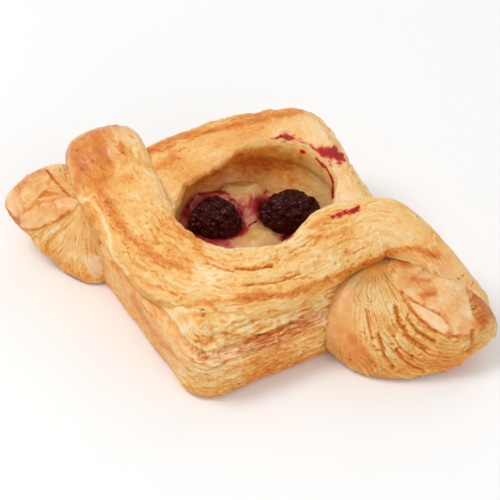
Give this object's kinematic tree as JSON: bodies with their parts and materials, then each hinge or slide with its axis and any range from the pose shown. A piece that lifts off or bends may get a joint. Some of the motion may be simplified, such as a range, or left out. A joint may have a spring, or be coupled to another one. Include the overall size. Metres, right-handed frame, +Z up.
{
  "type": "danish pastry",
  "caption": "Diamond puff pastry twist with crossed border strips knotted at either end, round a well of vanilla custard and dark berries.",
  "frame": {"origin": "middle of the box's underside, on the surface that the pastry rests on", "axes": "+X from the left knot to the right knot, +Y from the front corner to the back corner, +Z up"},
  "size_m": [0.1404, 0.0884, 0.0336],
  "materials": {
    "dough": "baked, flaky, with egg glaze",
    "custard": "smooth, moist, with vanilla specks",
    "berry": "juicy, dark purple"
  },
  "bodies": {
    "root": {"pastry": "dough", "custard": "custard", "bramble_left": "berry", "bramble_right": "berry"}
  },
  "joints": []
}
